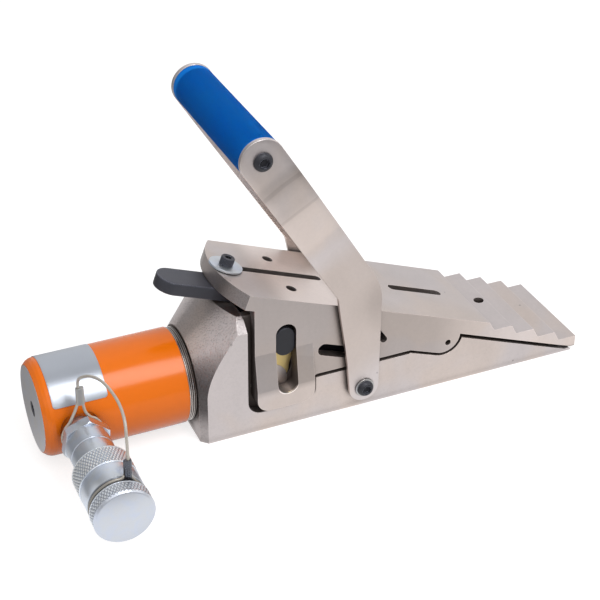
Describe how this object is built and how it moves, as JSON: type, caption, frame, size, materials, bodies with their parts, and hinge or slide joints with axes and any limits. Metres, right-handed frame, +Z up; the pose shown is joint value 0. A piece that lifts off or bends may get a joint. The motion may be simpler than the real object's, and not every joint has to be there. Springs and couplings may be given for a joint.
{
  "type": "hydraulic wedge spreader",
  "caption": "Hydraulic wedge spreader: a sliding wedge lifts a stepped steel jaw off its base, driven by a short oil cylinder, with a swinging carrying bail and a capped coupler.",
  "frame": {"origin": "underside of the base, on the middle plane, below the line where the jaw's sloping top starts at its rear corners", "axes": "+X towards the thin tip, +Y to the side away from the coupler, +Z up"},
  "size_m": [0.3587, 0.1728, 0.2093],
  "materials": {
    "nickel_steel": "satin, nickel plated",
    "black_oxide_steel": "matte, black oxide",
    "orange_paint": "gloss",
    "bare_steel": "turned, bare",
    "bright_steel": "polished",
    "spring_steel": "oiled",
    "zinc_steel": "zinc plated",
    "cap_aluminium": "satin",
    "dark_aluminium": "pressed",
    "silver_foil": "semi-gloss foil",
    "wire_grey": "coated wire",
    "bronze": "satin",
    "yellow_chromate": "satin, yellow chromate",
    "black_rubber": "matte",
    "blue_grip": "matte sleeve"
  },
  "bodies": {
    "base": {"base_body": "nickel_steel", "key_near": "black_oxide_steel", "key_far": "black_oxide_steel", "barrel": "orange_paint", "end_disc": "bare_steel", "end_plug": "black_oxide_steel", "lock_ring": "bare_steel", "rod_guide": "bronze", "rod_seal": "black_rubber", "label_plate": "silver_foil", "inlet_adapter": "zinc_steel", "coupler_body": "zinc_steel", "coupler_valve": "bronze", "coupler_seal": "black_rubber", "crimp_upper": "wire_grey", "ferrule_lower": "dark_aluminium", "lanyard": "wire_grey", "pivot_bush_near": "bare_steel", "pivot_bush_far": "bare_steel", "pivot_washer_near": "black_rubber", "pivot_washer_far": "black_rubber", "pivot_screw_near": "black_oxide_steel", "pivot_screw_far": "black_oxide_steel"},
    "sleeve": {"coupler_sleeve": "zinc_steel"},
    "cap": {"dust_cap": "cap_aluminium"},
    "wedge": {"piston": "bare_steel", "piston_seal": "black_rubber", "piston_rod": "bright_steel", "return_spring": "spring_steel", "drive_wedge": "black_oxide_steel", "cross_pin": "bare_steel", "pin_disc_near": "yellow_chromate", "pin_disc_far": "yellow_chromate", "tail_bar": "black_oxide_steel", "tail_fixings": "black_oxide_steel", "penny_washer": "zinc_steel", "tail_screw": "black_oxide_steel"},
    "jaw": {"jaw": "nickel_steel"},
    "bail": {"bail_arm_near": "nickel_steel", "bail_arm_far": "nickel_steel", "grip_tube": "blue_grip", "grip_core": "bare_steel", "grip_screw_near": "black_oxide_steel", "grip_screw_far": "black_oxide_steel"}
  },
  "joints": [
    {"name": "wedge_drive", "type": "slide", "parent": "base", "child": "wedge", "axis": [1, 0, 0], "range_m": [0, 0.0562], "stiffness_N_per_m": 1500, "springref_m": -0.02, "deforming": ["return_spring"]},
    {"name": "jaw_lift", "type": "slide", "parent": "base", "child": "jaw", "axis": [0, 0, 1], "range_m": [0, 0.02102]},
    {"name": "bail_swing", "type": "hinge", "parent": "base", "child": "bail", "pos_m": [0.073, 0, 0.017], "axis": [0, 1, 0], "range_deg": [-15, 105]},
    {"name": "sleeve_turn", "type": "hinge", "parent": "base", "child": "sleeve", "pos_m": [-0.1065, -0.086, 0.0315], "axis": [0, 1, 0], "continuous": true},
    {"name": "cap_turn", "type": "hinge", "parent": "base", "child": "cap", "pos_m": [-0.1065, -0.108, 0.0315], "axis": [0, 1, 0], "continuous": true}
  ],
  "couplings": [
    {"joint": "jaw_lift", "follows": "wedge_drive", "ratio": 0.37388}
  ]
}
